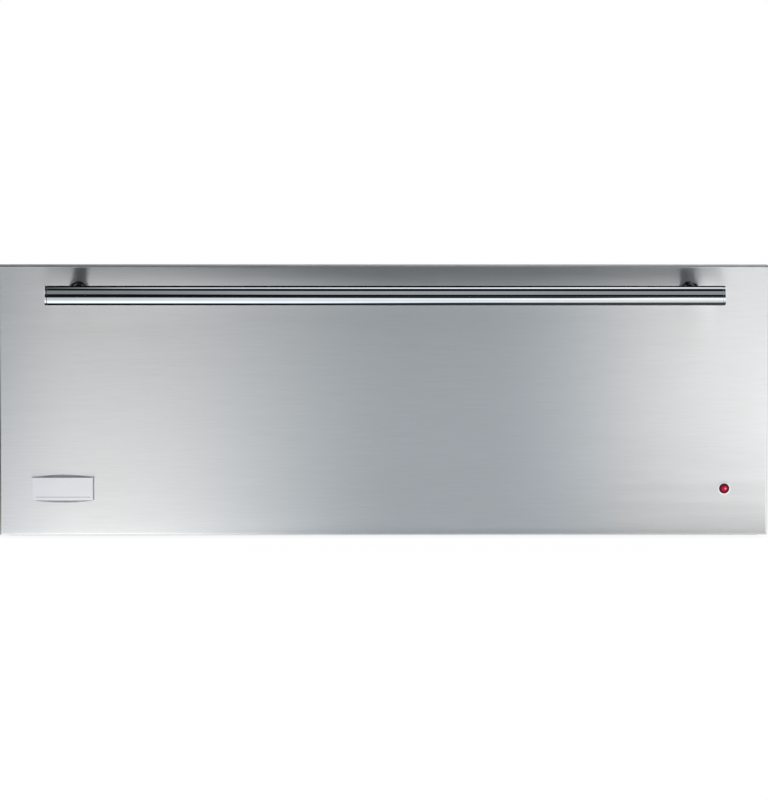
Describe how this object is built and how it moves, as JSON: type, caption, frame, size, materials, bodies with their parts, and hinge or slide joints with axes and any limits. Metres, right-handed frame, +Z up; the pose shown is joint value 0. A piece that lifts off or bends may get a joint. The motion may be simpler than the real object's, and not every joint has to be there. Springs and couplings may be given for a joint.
{
  "type": "warming drawer",
  "caption": "Cabinet warming drawer with a full-width brushed steel front, bar handle, pilot lamp, heated cavity and a pan that pulls out on ball slides.",
  "frame": {"origin": "centre of the chassis's flat underside", "axes": "+X to the right seen from the front, +Y towards the back, +Z up; the drawer opens towards -Y"},
  "size_m": [0.756, 0.6225, 0.2688],
  "materials": {
    "stainless_brushed": "brushed along its width",
    "stainless_polished": "polished",
    "stainless_drawn": "satin",
    "aluminised_steel": "matt aluminised sheet",
    "galvanised_steel": "galvanised sheet",
    "slide_steel": "zinc plated",
    "ball_steel": "polished",
    "screw_steel": "zinc plated",
    "element_sheath": "dark oxidised sheath",
    "ceramic_white": "unglazed",
    "wadding": "glass-fibre wadding",
    "black_plastic": "matt",
    "knob_plastic": "satin black",
    "lever_plastic": "matt",
    "silicone": "grey silicone",
    "rubber_black": "matt",
    "lamp_red": "clear red jewel",
    "copper_bulb": "copper"
  },
  "bodies": {
    "chassis": {"chassis_base": "galvanised_steel", "chassis_top_cover": "galvanised_steel", "chassis_rear_panel": "galvanised_steel", "front_frame": "stainless_brushed", "cavity_liner": "aluminised_steel", "insulation_wrap": "wadding", "heating_element": "element_sheath", "element_bushes": "ceramic_white", "element_rails": "aluminised_steel", "thermal_cutout": "black_plastic", "terminal_block": "black_plastic", "junction_cover": "galvanised_steel", "cord_gland": "black_plastic", "case_screws": "screw_steel", "mouth_gasket": "silicone", "front_bumpers": "rubber_black", "slide_outer_left": "slide_steel", "slide_outer_right": "slide_steel", "slide_rivets": "screw_steel"},
    "slide_middles": {"slide_middle_left": "slide_steel", "slide_middle_right": "slide_steel"},
    "outer_cages": {"cage_outer_left": "slide_steel", "cage_outer_right": "slide_steel", "balls_outer": "ball_steel"},
    "inner_cages": {"cage_inner_left": "slide_steel", "cage_inner_right": "slide_steel", "balls_inner": "ball_steel"},
    "drawer": {"front_panel": "stainless_brushed", "front_backing": "galvanised_steel", "front_insulation": "wadding", "front_screws": "screw_steel", "handle_bar": "stainless_polished", "handle_end_caps": "stainless_polished", "handle_posts": "stainless_polished", "handle_screws": "screw_steel", "nameplate": "stainless_polished", "lamp_bezel": "stainless_polished", "lamp_lens": "lamp_red", "lamp_holder": "black_plastic", "control_housing": "galvanised_steel", "control_fascia": "stainless_brushed", "fascia_screws": "screw_steel", "dial_plate": "black_plastic", "thermostat_body": "black_plastic", "thermostat_sensor": "copper_bulb", "vent_rivets": "screw_steel", "drawer_side_left": "galvanised_steel", "drawer_side_right": "galvanised_steel", "drawer_back_rail": "galvanised_steel", "slide_inner_left": "slide_steel", "slide_inner_right": "slide_steel", "rail_rivets": "screw_steel", "drawer_pan": "stainless_drawn", "wire_rack": "stainless_polished"},
    "knob": {"control_knob": "knob_plastic", "thermostat_shaft": "slide_steel"},
    "vent": {"vent_slider": "stainless_brushed"},
    "lever_left": {"release_lever_left": "lever_plastic"},
    "lever_right": {"release_lever_right": "lever_plastic"}
  },
  "joints": [
    {"name": "drawer_slide", "type": "slide", "parent": "chassis", "child": "drawer", "axis": [0, -1, 0], "range_m": [0, 0.44]},
    {"name": "middle_slide", "type": "slide", "parent": "chassis", "child": "slide_middles", "axis": [0, -1, 0], "range_m": [0, 0.22]},
    {"name": "outer_cage_slide", "type": "slide", "parent": "chassis", "child": "outer_cages", "axis": [0, -1, 0], "range_m": [0, 0.11]},
    {"name": "inner_cage_slide", "type": "slide", "parent": "chassis", "child": "inner_cages", "axis": [0, -1, 0], "range_m": [0, 0.33]},
    {"name": "knob_turn", "type": "hinge", "parent": "drawer", "child": "knob", "pos_m": [0.205, -0.236, 0.18], "axis": [0, 0, -1], "range_deg": [0, 285]},
    {"name": "vent_slide", "type": "slide", "parent": "drawer", "child": "vent", "axis": [-1, 0, 0], "range_m": [0, 0.0075]},
    {"name": "lever_left_press", "type": "hinge", "parent": "drawer", "child": "lever_left", "pos_m": [-0.3247, -0.0558, 0.118], "axis": [1, 0, 0], "range_deg": [-6, 6], "stiffness_Nm_per_rad": 0.05},
    {"name": "lever_right_press", "type": "hinge", "parent": "drawer", "child": "lever_right", "pos_m": [0.3247, -0.0558, 0.118], "axis": [1, 0, 0], "range_deg": [-6, 6], "stiffness_Nm_per_rad": 0.05}
  ],
  "couplings": [
    {"joint": "middle_slide", "follows": "drawer_slide", "ratio": 0.5},
    {"joint": "outer_cage_slide", "follows": "drawer_slide", "ratio": 0.25},
    {"joint": "inner_cage_slide", "follows": "drawer_slide", "ratio": 0.75}
  ]
}
